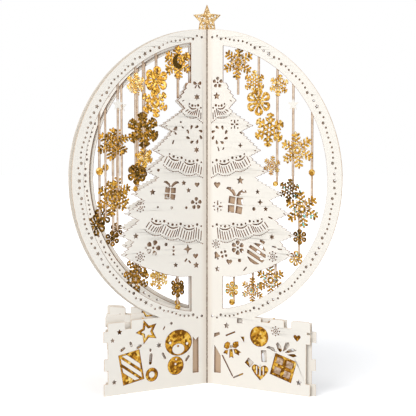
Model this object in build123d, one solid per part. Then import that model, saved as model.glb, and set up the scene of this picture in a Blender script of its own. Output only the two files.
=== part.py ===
from build123d import *
import os
from math import cos, radians, sin

# A free-standing laser-cut card: a round bauble with a lace-hung tree inside it, on a pile of gifts,
# with gold snowflakes and a gold star on top. Three folded card sheets stand back to back on one
# vertical spine, so that from above the card has three double leaves: front left, front right and
# rear left. Millimetres, +Z up, the viewer at -Y. Every panel is drawn flat, with u outward from
# the spine and z up, and then turned.

# Driving dimensions of the cut sheets
ring_radius = 90.0
ring_sink = 6.7
left_ring_band = 7.6
right_ring_band = 9.3
spine_strip_width = 11.5
pile_reach = 70.6
pile_height = 44.2
inner_pile_reach = 67.4
inner_pile_height = 47.6
outer_pile_reach = 74.3
card_thickness = 0.5
score_width = 0.7
score_depth = 0.2

# How far each leaf turns from the plane that faces the viewer, in degrees
front_turn = 30.5
partner_turn = 29.5
rear_turn = 25.0

# Clear gaps at the spine, where the sheets are joined
spine_gap = 0.5
rear_leaf_gap = 1.0

# Gold foil pieces, hanging strips, snowflakes and the star
foil_thickness = 0.2
foil_lap = 0.7
strip_thickness = 0.2
strip_width = 1.3
strip_lap = 3.0
flake_thickness = 0.2
star_radius = 8.8
star_rise = 6.1
star_thickness = 0.3
star_stem_width = 3.4
star_stem_depth = 9.0

# The tree's edge from its top, as shares of the ring's radius from the spine and the ring's centre
tree_tip_shares = (
    (0.228, 0.524), (0.356, 0.356), (0.414, 0.192), (0.472, 0.055),
    (0.580, -0.092), (0.632, -0.220), (0.672, -0.362), (0.658, -0.490),
)
tree_notch_shares = (
    (0.172, 0.470), (0.268, 0.318), (0.330, 0.150), (0.372, 0.010),
    (0.478, -0.140), (0.520, -0.268), (0.560, -0.408), (0.470, -0.590),
)
tree_top_shares = (0.150, 0.640)
tree_foot_shares = ((0.330, -0.640), (0.210, -0.668))
branch_sag_share = 0.016
tree_teeth = 1

# Cut-outs of the tree: (u, z, size) as shares of the ring's radius
left_tree_flower_shares = ((0.110, 0.297, 0.050), (0.360, -0.500, 0.048), (0.150, -0.505, 0.044))
right_tree_flower_shares = ((0.219, 0.345, 0.046), (0.242, -0.488, 0.050), (0.105, 0.277, 0.044))
tree_gift_shares = (0.219, -0.172)
tree_gift_pane_share = 0.052
tree_gift_ribbon_share = 0.016
tree_gift_tilt = -6.0
tree_bauble_shares = (0.392, -0.500)
tree_bauble_radius_share = 0.072
tree_bauble_slot_share = 0.013
tree_bauble_tilt = -35.0

# Snowflakes: (u, z, radius) as shares of the ring's radius, on the left leaves and on the right leaf
left_flake_shares = (
    (0.210, 0.776, 0.112), (0.375, 0.658, 0.087), (0.526, 0.629, 0.073), (0.386, 0.508, 0.100),
    (0.473, 0.324, 0.118), (0.700, 0.232, 0.112), (0.470, 0.140, 0.068), (0.520, 0.036, 0.072),
    (0.696, -0.121, 0.124), (0.815, -0.290, 0.071), (0.699, -0.383, 0.052),
    (0.530, -0.661, 0.099), (0.361, -0.671, 0.074), (0.217, -0.754, 0.054),
)
left_ball_shares = ((0.217, -0.872, 0.020), (0.786, 0.058, 0.026), (0.530, -0.062, 0.018))
right_flake_shares = (
    (0.247, 0.775, 0.120), (0.371, 0.640, 0.080), (0.401, 0.510, 0.093), (0.551, 0.615, 0.073),
    (0.480, 0.325, 0.115), (0.685, 0.193, 0.124), (0.501, 0.090, 0.068), (0.629, -0.070, 0.079),
    (0.720, -0.190, 0.128), (0.706, -0.372, 0.052), (0.678, -0.515, 0.052),
    (0.360, -0.745, 0.090), (0.495, -0.672, 0.113), (0.203, -0.752, 0.054),
)
right_ball_shares = ((0.526, -0.030, 0.018), (0.203, -0.840, 0.022), (0.788, 0.050, 0.022))
rear_flake_shares = left_flake_shares
rear_ball_shares = left_ball_shares
small_flake_share = 0.080
flake_arm_share = 0.80
flake_notch_share = 0.34
flake_spread = 13.0
petal_notch_share = 0.42
white_star_shares = (0.653, 0.489, 0.042)

# Hanging strips: the distance from the spine and the lower end, as shares of the ring's radius
left_strip_shares = (
    (0.210, 0.540), (0.375, 0.500), (0.526, -0.070), (0.653, -0.060), (0.786, -0.300), (0.470, 0.010),
)
right_strip_shares = (
    (0.247, 0.560), (0.401, 0.480), (0.538, -0.040), (0.653, -0.070), (0.788, -0.160),
)
# Strips from one piece to another: the distance from the spine, the lower end and the upper end
left_link_shares = (
    (0.690, -0.390, 0.200), (0.217, -0.880, -0.600), (0.361, -0.700, -0.560), (0.530, -0.690, -0.500),
)
right_link_shares = (
    (0.700, -0.530, -0.150), (0.217, -0.850, -0.600), (0.361, -0.770, -0.560), (0.530, -0.690, -0.500),
)

# The pile's edge from the foot upward and inward, as shares of its reach and height
left_pile_shares = (
    (1.000, 0.000), (1.000, 0.161), (0.962, 0.161), (0.962, 0.339), (0.996, 0.339), (0.996, 0.498),
    (0.962, 0.498), (0.962, 0.719), (1.000, 0.719), (1.000, 0.869), (0.962, 0.869), (0.962, 0.980),
    (0.800, 0.980), (0.800, 0.880), (0.744, 0.880), (0.744, 0.995),
)
right_pile_shares = (
    (1.000, 0.000), (1.000, 0.161), (0.962, 0.161), (0.962, 0.695), (1.000, 0.695), (1.000, 0.828),
    (0.970, 0.828), (0.970, 0.855), (1.000, 0.855), (1.000, 0.980), (0.980, 1.000), (0.840, 1.000),
    (0.822, 0.980), (0.822, 0.894), (0.756, 0.894), (0.756, 0.980), (0.740, 0.995), (0.632, 0.995),
    (0.616, 0.939), (0.538, 0.939), (0.538, 0.995),
)

# The pile's cut-outs: u as a share of its reach, z and sizes as shares of its height
left_window_shares = ((0.099, 0.163), (0.149, 0.163), (0.149, 0.713), (0.122, 0.631), (0.099, 0.672))
right_window_shares = ((0.076, 0.163), (0.133, 0.163), (0.099, 0.529), (0.115, 0.696), (0.076, 0.672))
toy_head_shares = (0.283, 0.615, 0.179)
toy_muzzle_shares = (0.289, 0.548, 0.081)
toy_body_shares = (0.317, 0.310, 0.129)
gold_ring_shares = (0.549, 0.214, 0.093)
gold_star_shares = (0.596, 0.799, 0.167)
striped_gift_shares = (0.738, 0.352, 0.305, 0.432)
striped_gift_tilt = -13.0
striped_bow_shares = (0.765, 0.611, 0.073)
gold_bauble_shares = (0.515, 0.719, 0.138)
gold_heart_shares = (0.530, 0.262, 0.131)
small_heart_shares = (0.867, 0.760, 0.047)
ribbon_bow_shares = (0.259, 0.515, 0.114)
paned_gift_shares = (0.742, 0.362, 0.328, 0.294)
paned_gift_tilt = -14.0
paned_bow_shares = (0.756, 0.635, 0.106)
opening_share = 0.46
patch_sides = 8
disc_sides = 18
ring_sides = 60
heart_shares = ((0.00, -1.00), (0.92, 0.00), (0.84, 0.38), (0.48, 0.60), (0.14, 0.46), (0.00, 0.15))
stripe_share = 0.22

# The ring sinks a little into the pile, and the star rises a little over the ring
ring_centre_height = pile_height + ring_radius - ring_sink
ring_top = ring_centre_height + ring_radius
star_centre_height = ring_top + star_rise

# Spine of the card from the middle of its depth, so that the origin is under the whole card's middle
front_reach = ring_radius * sin(radians(front_turn)) + card_thickness * cos(radians(front_turn))
rear_depth = rear_leaf_gap + card_thickness
rear_reach = ring_radius * sin(radians(rear_turn)) + rear_depth * cos(radians(rear_turn))
left_reach = ring_radius * cos(radians(rear_turn)) + spine_gap / sin(radians(front_turn))
spine_y = (front_reach - rear_reach) / 2

# Where each sheet's fold line stands, from the front sheet's own
left_fold_x = -spine_gap / sin(radians(front_turn))
back_fold_x = left_fold_x + rear_leaf_gap * sin(radians(rear_turn))
back_fold_y = rear_leaf_gap * cos(radians(rear_turn))
right_reach = ring_radius * cos(radians(partner_turn)) + back_fold_x + card_thickness * sin(radians(partner_turn))
spine_x = (left_reach - right_reach) / 2

# Each sheet: how far its panels turn to its own front, how far it is turned itself, and its fold line
middle_turn = (partner_turn + rear_turn) / 2
sheets = {
    "front": (front_turn, 0, (0, 0)),
    "left": (90 - middle_turn, partner_turn - middle_turn - 90, (left_fold_x, 0)),
    "back": (rear_turn - middle_turn, 180 - middle_turn, (back_fold_x, back_fold_y)),
}


def at_ring(u_share, z_share):
    """A place inside the ring, from shares of its radius."""
    return (u_share * ring_radius, ring_centre_height + z_share * ring_radius)


def polar(radius, degrees):
    return (radius * cos(radians(degrees)), radius * sin(radians(degrees)))


def star_points(tips, outer, inner, start=90.0):
    """Corners of a star with the given tips, first tip at the start angle."""
    step = 180.0 / tips
    return [polar(outer if k % 2 == 0 else inner, start + k * step) for k in range(2 * tips)]


def drawn(points):
    """A flat face with straight edges through the points."""
    return make_face(Polyline(*points, close=True))


def star(radius, tips=5, depth_share=0.45, turn=90.0):
    return drawn(star_points(tips, radius, radius * depth_share, turn))


def heart(size):
    """Two lobes over a point, about twice the size wide."""
    half = [(size * u, size * z) for u, z in heart_shares]
    return drawn(half + [(-u, z) for u, z in reversed(half[1:-1])])


def disc(radius):
    """A round cut-out, with few faces."""
    return RegularPolygon(radius, disc_sides)


def box_from(u0, z0, u1, z1):
    return Pos((u0 + u1) / 2, (z0 + z1) / 2) * Rectangle(u1 - u0, z1 - z0)


def at(shares):
    """A placement inside the ring, from shares of its radius."""
    return Pos(*at_ring(shares[0], shares[1]))


def at_foot(shares):
    """A placement on the pile, from shares of its reach and height."""
    return Pos(shares[0] * pile_reach, shares[1] * pile_height)


def bow(size, tails=True):
    """Two loops on a knot, as one outline, with or without the ribbon's tails."""
    right = [(0, size * 0.30), (size, size * 0.75), (size * 1.05, -size * 0.30), (size * 0.20, -size * 0.20)]
    if tails:
        right += [(size * 0.75, -size * 1.05), (size * 0.25, -size * 1.00)]
    right.append((0, -size * 0.30))
    return drawn(right + [(-u, z) for u, z in reversed(right[1:-1])])


def patch(size):
    """A plain piece of foil that covers a round cut-out."""
    return RegularPolygon(size + foil_lap * 2, patch_sides)


def petals(size, count=5):
    """A flower with pointed petals."""
    return star(size, count, petal_notch_share)


def gift(size, width_share, height_share, tilt):
    return Rot(0, 0, tilt) * Rectangle(width_share * size, height_share * size)


def tree(open_edge):
    """The half tree beside the spine strip, with a stepped edge on its branches."""
    points = [(open_edge, at_ring(0, tree_top_shares[1])[1]), at_ring(*tree_top_shares)]
    for number, (tip, notch) in enumerate(zip(tree_tip_shares, tree_notch_shares)):
        before = (tree_top_shares,) + tree_notch_shares
        start = before[number]
        for k in range(1, tree_teeth + 1):
            share = k / (tree_teeth + 1)
            u_share = start[0] + (tip[0] - start[0]) * share
            z_share = start[1] + (tip[1] - start[1]) * share
            points.append(at_ring(u_share, z_share))
            points.append(at_ring(u_share - branch_sag_share, z_share - branch_sag_share))
        points.append(at_ring(*tip))
        points.append(at_ring(*notch))
    points += [at_ring(*foot) for foot in tree_foot_shares]
    points.append((open_edge, at_ring(*tree_foot_shares[-1])[1]))
    return drawn(points)


def opening(band):
    """The clear field inside the ring, beside the spine strip."""
    inside = Pos(0, ring_centre_height) * RegularPolygon(ring_radius - band, ring_sides)
    return inside & box_from(spine_strip_width, 0, ring_radius, ring_top)


def bauble_cut():
    """A tilted bauble with a band left across it."""
    ball = disc(tree_bauble_radius_share * ring_radius)
    band = tree_bauble_slot_share * ring_radius
    reach = tree_bauble_radius_share * ring_radius * 2
    cut = ball - Rectangle(reach, band)
    return at(tree_bauble_shares) * Rot(0, 0, tree_bauble_tilt) * cut


def gift_cut():
    """Four panes of a gift between its crossed ribbons, with its bow above."""
    pane = tree_gift_pane_share * ring_radius
    apart = (tree_gift_pane_share + tree_gift_ribbon_share) * ring_radius / 2
    panes = [Pos(i * apart, j * apart) * Rectangle(pane, pane) for i in (-1, 1) for j in (-1, 1)]
    top = Pos(0, apart * 2.9) * bow(pane, False)
    return [at(tree_gift_shares) * Rot(0, 0, tree_gift_tilt) * piece for piece in panes + [top]]


def left_cuts():
    """Everything cut out of a left panel, apart from the ring's opening."""
    cuts = [at(s) * petals(s[2] * ring_radius) for s in left_tree_flower_shares]
    cuts += gift_cut()
    cuts.append(drawn([(u * pile_reach, z * pile_height) for u, z in left_window_shares]))
    for place in (toy_head_shares, toy_body_shares, gold_ring_shares):
        cuts.append(at_foot(place) * disc(place[2] * pile_height))
    cuts.append(at_foot(gold_star_shares) * star(gold_star_shares[2] * pile_height))
    cuts.append(at_foot(striped_gift_shares) * gift(pile_height, *striped_gift_shares[2:], striped_gift_tilt))
    cuts.append(at_foot(striped_bow_shares) * bow(striped_bow_shares[2] * pile_height, False))
    return cuts


def right_cuts():
    """Everything cut out of a right panel, apart from the ring's opening."""
    cuts = [at(s) * petals(s[2] * ring_radius) for s in right_tree_flower_shares]
    cuts += gift_cut()
    cuts.append(bauble_cut())
    cuts.append(drawn([(u * pile_reach, z * pile_height) for u, z in right_window_shares]))
    cuts.append(at_foot(gold_bauble_shares) * disc(gold_bauble_shares[2] * pile_height))
    for place in (gold_heart_shares, small_heart_shares):
        cuts.append(at_foot(place) * heart(place[2] * pile_height))
    cuts.append(at_foot(ribbon_bow_shares) * bow(ribbon_bow_shares[2] * pile_height))
    cuts.append(at_foot(paned_bow_shares) * bow(paned_bow_shares[2] * pile_height, False))
    cuts.append(at_foot(paned_gift_shares) * gift(pile_height, *paned_gift_shares[2:], paned_gift_tilt))
    return cuts


def panel(band, pile_shares, reach, height, cuts):
    """A flat panel: half the ring and its tree over half the pile, drawn a little past the fold for its mitre."""
    shape = Pos(0, ring_centre_height) * RegularPolygon(ring_radius, ring_sides) & box_from(-card_thickness, 0, ring_radius, ring_top)
    edge = [(u * reach, z * height) for u, z in pile_shares]
    shape += drawn([(-card_thickness, 0)] + edge + [(-card_thickness, edge[-1][1])])
    shape -= opening(band) - tree(spine_strip_width)
    for cut in cuts:
        shape -= cut
    return shape


def stood(flat, thickness, behind=0.0):
    """A flat shape stood up on the spine, with its rear face the given way behind the fold's plane."""
    return Pos(0, behind, 0) * (Rot(90, 0, 0) * extrude(flat, thickness))


def turned(solid, sheet, side):
    """A stood panel or piece, turned to its leaf: side is 1 for a sheet's right panel, -1 for its left."""
    turn, round_spine, fold = sheets[sheet]
    if side < 0:
        solid = mirror(solid, Plane.YZ)
    solid = Rot(0, 0, -side * turn) * solid
    return Pos(spine_x + fold[0], spine_y + fold[1], 0) * (Rot(0, 0, round_spine) * solid)


def folded(left_flat, right_flat, thickness, sheet):
    """A sheet of two panels, mitred and fused along the fold, with the fold's crease pressed in."""
    turn, round_spine, fold = sheets[sheet]
    half = Pos(ring_radius, 0, ring_top) * Box(ring_radius * 2, ring_radius * 2, ring_top * 2)
    right = (Rot(0, 0, -turn) * stood(right_flat, thickness)) & half
    left = mirror((Rot(0, 0, -turn) * stood(left_flat, thickness)) & half, Plane.YZ)
    corner = thickness / cos(radians(turn))
    crease = Pos(0, score_depth - corner * 1.5, ring_top / 2) * Box(score_width, corner, ring_top)
    return Pos(spine_x + fold[0], spine_y + fold[1], 0) * (Rot(0, 0, round_spine) * (left + right - crease))


def snowflake(radius):
    """Six broad arms with pointed ends, or six plain arms on a small one."""
    if radius < small_flake_share * ring_radius:
        return star(radius, 6, petal_notch_share)
    points = []
    for k in range(6):
        middle = 30 + 60 * k
        points.append(polar(radius * flake_arm_share, middle - flake_spread))
        points.append(polar(radius, middle))
        points.append(polar(radius * flake_arm_share, middle + flake_spread))
        points.append(polar(radius * flake_notch_share, middle + 30))
    return drawn(points)


def strips(hanging, links, band):
    """Straight strips, each as (distance from the spine, lower end, upper end) in the sheet."""
    pieces = []
    inner = ring_radius - band
    for u_share, low_share in hanging:
        u, low = at_ring(u_share, low_share)
        high = ring_centre_height + (inner**2 - u**2) ** 0.5 + strip_lap
        pieces.append(box_from(u - strip_width / 2, low, u + strip_width / 2, high))
    for u_share, low_share, high_share in links:
        u, low = at_ring(u_share, low_share)
        high = at_ring(u_share, high_share)[1]
        pieces.append(box_from(u - strip_width / 2, low, u + strip_width / 2, high))
    return pieces


def flakes(flake_shares, ball_shares):
    pieces = [at(s) * snowflake(s[2] * ring_radius) for s in flake_shares]
    return pieces + [at(s) * RegularPolygon(s[2] * ring_radius, patch_sides) for s in ball_shares]


def on_leaf(flats, thickness, behind, sheet, side):
    """Each flat shape as its own solid, behind the given panel."""
    return [turned(stood(flat, thickness, behind + thickness), sheet, side) for flat in flats]


def joined(flats):
    """Flat shapes that overlap, made into one each."""
    whole = flats[0]
    for flat in flats[1:]:
        whole += flat
    return whole.faces()


def left_foils():
    """Gold pieces glued behind the cut-outs of a left pile."""
    head = at_foot(toy_head_shares) * patch(toy_head_shares[2] * pile_height)
    head -= at_foot(toy_muzzle_shares) * RegularPolygon(toy_muzzle_shares[2] * pile_height, patch_sides)
    body = at_foot(toy_body_shares) * patch(toy_body_shares[2] * pile_height)
    size = gold_ring_shares[2] * pile_height
    ring = at_foot(gold_ring_shares) * (patch(size) - RegularPolygon(size * opening_share, patch_sides))
    size = gold_star_shares[2] * pile_height
    backing = RegularPolygon(size + foil_lap, 5, rotation=90)
    star_piece = at_foot(gold_star_shares) * (backing - star(size * opening_share))
    width, height = (share * pile_height for share in striped_gift_shares[2:])
    stripe = height * stripe_share
    sheet = Rectangle(width + foil_lap * 2, height + foil_lap * 2)
    for k in (-1, 0, 1):
        middle = k * stripe * 1.5
        reach = width / 2
        low, high = middle - stripe / 1.6, middle
        slant = [(-reach, high - reach), (-reach, low - reach), (reach, low + reach), (reach, high + reach)]
        sheet -= drawn(slant) & Rectangle(width, height)
    wrapped = at_foot(striped_gift_shares) * Rot(0, 0, striped_gift_tilt) * sheet
    size = striped_bow_shares[2] * pile_height
    top = at_foot(striped_bow_shares) * Pos(0, size / 4) * Rectangle(size * 2.6, size * 1.6)
    return joined([head, body]) + joined([wrapped, top]) + ShapeList([*ring.faces(), *star_piece.faces()])


def right_foils():
    """Gold pieces glued behind the cut-outs of a right pile."""
    pieces = [at_foot(gold_bauble_shares) * patch(gold_bauble_shares[2] * pile_height)]
    for place in (small_heart_shares, gold_heart_shares):
        size = place[2] * pile_height + foil_lap
        pieces.append(at_foot(place) * Pos(0, -size * 0.15) * Rectangle(size * 2.1, size * 2.1))
    size = ribbon_bow_shares[2] * pile_height + foil_lap
    pieces.append(at_foot(ribbon_bow_shares) * Pos(0, -size * 0.15) * Rectangle(size * 2.3, size * 2.1))
    width, height = (share * pile_height for share in paned_gift_shares[2:])
    pane = stripe_share * pile_height * paned_gift_shares[2]
    sheet = Rectangle(width + foil_lap * 2, height + foil_lap * 2)
    for i in (-1, 1):
        for j in (-1, 1):
            sheet -= Pos(i * width / 4, j * height / 4) * Rectangle(pane, pane)
    wrapped = at_foot(paned_gift_shares) * Rot(0, 0, paned_gift_tilt) * sheet
    size = paned_bow_shares[2] * pile_height
    top = at_foot(paned_bow_shares) * Pos(0, size / 4) * Rectangle(size * 2.3, size * 1.4)
    return joined(pieces + [wrapped, top])


def half_star():
    """Half of the openwork star over the ring, with its stem down behind the spine."""
    whole = Pos(0, star_centre_height) * star(star_radius)
    whole += box_from(-star_stem_width, ring_top - star_stem_depth, star_stem_width, star_centre_height)
    for tip in range(5):
        u, z = polar(star_radius * 0.42, 90 + 72 * tip)
        whole -= Pos(u, star_centre_height + z) * RegularPolygon(star_radius * 0.13, patch_sides)
    return whole & box_from(0, 0, ring_radius, star_centre_height + star_radius)


def write(solids, node):
    pieces = solids if isinstance(solids, list) else [solids]
    export_step(pieces[0] if len(pieces) == 1 else Compound(children=pieces), "parts/" + node + ".step")


left_flat = panel(left_ring_band, left_pile_shares, pile_reach, pile_height, left_cuts())
right_flat = panel(right_ring_band, right_pile_shares, pile_reach, pile_height, right_cuts())
outer_flat = panel(left_ring_band, left_pile_shares, outer_pile_reach, pile_height, left_cuts())
inner_flat = panel(right_ring_band, right_pile_shares, inner_pile_reach, inner_pile_height, right_cuts())

os.makedirs("parts", exist_ok=True)
write(folded(left_flat, right_flat, card_thickness, "front"), "front_sheet")
write(folded(left_flat, inner_flat, card_thickness, "left"), "left_sheet")
write(folded(outer_flat, right_flat, card_thickness, "back"), "back_sheet")

left_hung = joined(strips(left_strip_shares, left_link_shares, right_ring_band))
rear_hung = joined(strips(left_strip_shares, left_link_shares, left_ring_band))
right_hung = joined(strips(right_strip_shares, right_link_shares, left_ring_band))
write(on_leaf(left_hung, strip_thickness, 0.0, "left", 1), "left_strips")
write(on_leaf(rear_hung, strip_thickness, 0.0, "left", -1), "rear_strips")
write(on_leaf(right_hung, strip_thickness, 0.0, "back", -1), "right_strips")

left_gold = joined(flakes(left_flake_shares, left_ball_shares))
right_gold = joined(flakes(right_flake_shares, right_ball_shares))
write(on_leaf(left_gold, flake_thickness, strip_thickness, "left", 1), "left_snowflakes")
write(on_leaf(left_gold, flake_thickness, strip_thickness, "left", -1), "rear_snowflakes")
write(on_leaf(right_gold, flake_thickness, strip_thickness, "back", -1), "right_snowflakes")

white_star = [at(white_star_shares) * star(white_star_shares[2] * ring_radius)]
paper_stars = []
for sheet, side in (("left", 1), ("left", -1), ("back", -1)):
    paper_stars += on_leaf(white_star, flake_thickness, strip_thickness, sheet, side)
write(paper_stars, "white_stars")

for sheet in sheets:
    gold = on_leaf(left_foils(), foil_thickness, 0.0, sheet, -1)
    gold += on_leaf(right_foils(), foil_thickness, 0.0, sheet, 1)
    write(gold, sheet + "_gold_foils")

half = half_star()
shift = Pos(0, star_thickness / cos(radians(front_turn)), 0)
write(shift * folded(half, half, star_thickness, "front"), "top_star")
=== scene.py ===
import math

import bpy
import numpy as np
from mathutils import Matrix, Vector
from mathutils.geometry import tessellate_polygon


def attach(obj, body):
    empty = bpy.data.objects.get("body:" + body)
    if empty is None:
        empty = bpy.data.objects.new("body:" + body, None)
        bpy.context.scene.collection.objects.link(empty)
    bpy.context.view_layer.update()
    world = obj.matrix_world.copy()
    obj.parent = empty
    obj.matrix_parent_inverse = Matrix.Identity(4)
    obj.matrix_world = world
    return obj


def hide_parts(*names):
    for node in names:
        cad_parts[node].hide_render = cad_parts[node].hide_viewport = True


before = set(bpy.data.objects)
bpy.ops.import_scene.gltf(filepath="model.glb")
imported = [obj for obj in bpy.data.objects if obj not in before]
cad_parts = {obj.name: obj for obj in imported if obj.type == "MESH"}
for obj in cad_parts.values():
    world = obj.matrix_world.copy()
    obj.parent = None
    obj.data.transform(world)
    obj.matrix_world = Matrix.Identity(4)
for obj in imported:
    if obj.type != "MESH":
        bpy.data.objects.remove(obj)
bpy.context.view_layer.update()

# The pop up card: three folded sheets of white card back to back on one spine, with hanging strips, gold
# snowflakes, gold foils and a glitter star. Each piece keeps the form of its CAD solid and adds the fine
# cut-outs and the finish. A panel's own axes are u, out from the fold, z, upwards, and a depth, towards
# the sheet's front.


def sin(degrees):
    """The sine of an angle in degrees."""
    return math.sin(math.radians(degrees))


def cos(degrees):
    """The cosine of an angle in degrees."""
    return math.cos(math.radians(degrees))


# The card as it is built, in millimetres and degrees
MM = 0.001
RING, CENTRE, CARD = 90.0, 127.5, 0.5
STRIP_EDGE = 11.5
SPINE_GAP, REAR_LEAF_GAP = 0.5, 1.0
STRIP_WIDTH, STRIP_THICKNESS, STRIP_LAP = 1.5, 0.2, 3.0
FLAKE_THICKNESS, FOIL_THICKNESS, FOIL_GAP = 0.2, 0.1, 0.01
STAR_MIDDLE, STAR_RADIUS, STAR_THICKNESS, STEM_LENGTH, STAR_SETBACK = 223.6, 8.8, 0.3, 15.1, 0.02
DOTS_RADIUS = 85.3
# How far the faces start inside the edges, and how deep the slope between them goes
SHEET_RIM, PANE_RIM, FLAKE_RIM, STRIP_RIM, RIM_DROP = 0.15, 0.10, 0.12, 0.36, 0.06
# The reach and height of each pile, and how slim the half tree is against the front sheet's
COMMON_PILE, INNER_PILE, OUTER_PILE = (70.6, 44.2), (67.4, 47.6), (74.3, 44.2)
FULL, INNER_SLIM, OUTER_SLIM = 1.0, 0.93, 0.975
# How far the inner sheets' tree cut-outs are moved, and how far their ring dots are turned
PARTNER_SHIFT, PARTNER_DOTS_TURN = (1.6, -3.0), 3.0
# How far the paned gift's panes lie behind the card's face
PANE_SETBACK = 0.15
# How broad the ring is in each half
BAND = {"left": 7.6, "right": 9.3}
FRONT_TURN, PARTNER_TURN, REAR_TURN = 30.5, 29.5, 25.0
MIDDLE = (PARTNER_TURN + REAR_TURN) / 2
LEFT_FOLD = -SPINE_GAP / sin(FRONT_TURN)
BACK_FOLD = (LEFT_FOLD + REAR_LEAF_GAP * sin(REAR_TURN), REAR_LEAF_GAP * cos(REAR_TURN))
# The front sheet's fold line, set so that the card's whole reach is centred on the origin
SPINE = (
    (RING * cos(REAR_TURN) - LEFT_FOLD
     - RING * cos(PARTNER_TURN) - BACK_FOLD[0] - CARD * sin(PARTNER_TURN)) / 2,
    (RING * sin(FRONT_TURN) + CARD * cos(FRONT_TURN)
     - RING * sin(REAR_TURN) - (REAR_LEAF_GAP + CARD) * cos(REAR_TURN)) / 2,
)
# Each sheet: how far its panels turn to its own front, how far it is turned itself, and its fold line
SHEETS = {
    "front": (FRONT_TURN, 0.0, (0.0, 0.0)),
    "left": (90.0 - MIDDLE, PARTNER_TURN - MIDDLE - 90.0, (LEFT_FOLD, 0.0)),
    "back": (REAR_TURN - MIDDLE, 180.0 - MIDDLE, BACK_FOLD),
}


# Flat shapes

def polar(radius, degrees):
    """The point at that distance and angle: distance times cosine, distance times sine."""
    return (radius * cos(degrees), radius * sin(degrees))


def moved(loop, u, z, size=1.0, tilt=0.0):
    """A loop scaled, turned by tilt degrees and moved to (u, z)."""
    p = np.asarray(loop, float) * size
    a = math.radians(tilt)
    turn = np.array([[math.cos(a), math.sin(a)], [-math.sin(a), math.cos(a)]])
    return p @ turn + np.array([u, z])


def mirrored(loop):
    """The loop with u turned about, and its order reversed to match."""
    return [(-u, z) for u, z in reversed(list(loop))]


def round_hole(radius, sides=None):
    """Points at equal angles on a circle, more of them on a larger one."""
    n = sides or (8 if radius < 0.5 else 12 if radius < 2 else 28)
    return [polar(radius, 360.0 * k / n + 11) for k in range(n)]


def oval(radius, wide, sides=24):
    """A circle whose u is stretched."""
    return [(u * wide, z) for u, z in round_hole(radius, sides)]


def star_hole(radius, tips=5, depth=0.45, start=90.0):
    """Points at equal angles, by turns on the circle and on one of depth times its radius."""
    step = 180.0 / tips
    return [polar(radius if k % 2 == 0 else radius * depth, start + k * step) for k in range(2 * tips)]


def slit_hole(length, width, tilt=0.0):
    """A narrow slit with rounded ends, upright at no tilt."""
    w, h = width / 2, length / 2
    top = [(w, h - w), (w * 0.6, h), (-w * 0.6, h), (-w, h - w)]
    loop = top + [(-u, -z) for u, z in top]
    return moved(loop, 0, 0, 1, tilt)


def crescent_hole(width, sag, thickness):
    """A curved slit between two sagging parabolas, z = sag times (share of the half width squared less
    1)."""
    t = np.linspace(-1, 1, 9)
    lower = [(width / 2 * k, sag * (k * k - 1)) for k in t]
    upper = [(width / 2 * k * 0.97, sag * (k * k - 1) + thickness * (1 - 0.6 * k * k)) for k in t[::-1]]
    return lower + upper


def box_hole(width, height, tilt=0.0):
    """A rectangle about its middle."""
    w, h = width / 2, height / 2
    return moved([(-w, -h), (w, -h), (w, h), (-w, h)], 0, 0, 1, tilt)


def heart_hole(size):
    """Half a heart given as points, and its mirror image."""
    half = [(0.0, -1.0), (0.55, -0.48), (0.92, 0.0), (0.96, 0.25), (0.84, 0.45), (0.62, 0.57), (0.40, 0.55)]
    half += [(0.15, 0.40), (0.0, 0.18)]
    return [(u * size, z * size) for u, z in half + [(-u, z) for u, z in reversed(half[1:-1])]]


def teardrop_hole(length, width, tilt):
    """A drop that points inward, its round end outward along the tilt. Its length runs as half of 1 less
    the angle's cosine, and its breadth as the angle's sine times half the angle's sine."""
    t = np.linspace(0, 2 * math.pi, 10, endpoint=False)
    loop = [(length * (0.5 - 0.5 * math.cos(a)), width * 0.5 * math.sin(a) * math.sin(a / 2)) for a in t]
    return moved(loop, 0, 0, 1, tilt)


def flower_holes(radius, count=5, start=90.0, centre=True):
    """A ring of drops round a small dot."""
    loops = []
    for k in range(count):
        tilt = start + 360.0 * k / count
        drop = teardrop_hole(radius * 0.62, radius * 0.75, tilt)
        loops.append(moved(drop, *polar(radius * 0.36, tilt)))
    return loops + ([round_hole(radius * 0.14, 8)] if centre else [])


def ray_holes(radius, count=6, width=0.55, start=90.0):
    """A small openwork snowflake of separate slits with a dot past each end."""
    loops = []
    for k in range(count):
        tilt = start + 360.0 * k / count
        loops.append(moved(slit_hole(radius * 0.5, width, tilt - 90), *polar(radius * 0.48, tilt)))
        loops.append(moved(round_hole(width * 0.5, 8), *polar(radius * 0.92, tilt)))
    return loops


def wreath_holes(radius, count=8):
    """Leaves of a wreath, each slanted the same way to the circle they stand on."""
    loops = []
    for k in range(count):
        turn = 360.0 * k / count
        leaf = teardrop_hole(radius * 0.46, radius * 0.34, turn + 62)
        loops.append(moved(leaf, *polar(radius * 0.74, turn + 8)))
    return loops


def dot_flake_holes(radius, count=8):
    """A snowflake of pinholes: one in the middle and two rings of them."""
    loops = [round_hole(radius * 0.13, 6)]
    for k in range(count):
        for out, size in ((0.48, 0.10), (0.95, 0.12)):
            loops.append(moved(round_hole(radius * size, 6), *polar(radius * out, 360.0 * k / count)))
    return loops


def bow_holes(size, tails=True):
    """Two loops of ribbon, and two tails."""
    loop = [(0.16, 0.02), (0.55, 0.42), (0.95, 0.50), (1.05, 0.22), (0.95, -0.16), (0.55, -0.20)]
    loops = [loop, mirrored(loop)]
    if tails:
        tail = [(0.12, -0.22), (0.42, -0.42), (0.78, -1.0), (0.46, -1.02), (0.20, -0.62)]
        loops += [tail, mirrored(tail)]
    return [moved(part, 0, 0, size) for part in loops]


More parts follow.
